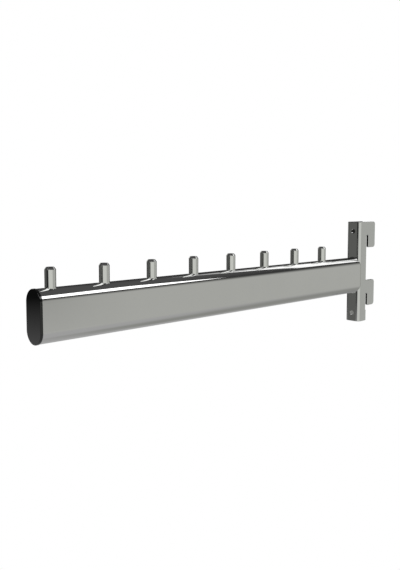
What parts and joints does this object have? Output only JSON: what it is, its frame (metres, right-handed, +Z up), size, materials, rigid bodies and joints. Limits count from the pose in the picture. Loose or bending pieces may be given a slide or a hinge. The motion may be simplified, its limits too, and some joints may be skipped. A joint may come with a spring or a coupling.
{
  "type": "shop display arm",
  "caption": "Straight chrome display arm: oval tube with a row of stop pins, a plastic end cap and a folded bracket whose two rear hooks drop into a slotted upright.",
  "frame": {"origin": "on the face of the upright, midway between the bracket's side plates, at the height of the tube's axis", "axes": "+Z up, +Y into the upright, so the arm reaches out along -Y; +X is to the right of somebody who looks at the wall"},
  "size_m": [0.0154, 0.3233, 0.0848],
  "materials": {
    "plated_tube": "polished chrome plate on oval steel tube",
    "plated_pin": "polished chrome plate on turned steel",
    "plated_bracket": "bright chrome plate on folded sheet steel",
    "plated_weld": "chrome plate over a dressed weld",
    "black_cap": "black moulded plastic, low gloss"
  },
  "bodies": {
    "arm": {"arm_tube": "plated_tube", "end_cap": "black_cap", "hook_bracket": "plated_bracket", "stop_pin_1": "plated_pin", "stop_pin_2": "plated_pin", "stop_pin_3": "plated_pin", "stop_pin_4": "plated_pin", "stop_pin_5": "plated_pin", "stop_pin_6": "plated_pin", "stop_pin_7": "plated_pin", "stop_pin_8": "plated_pin", "weld_left": "plated_weld", "weld_right": "plated_weld", "weld_top": "plated_weld", "weld_bottom": "plated_weld"}
  },
  "joints": []
}
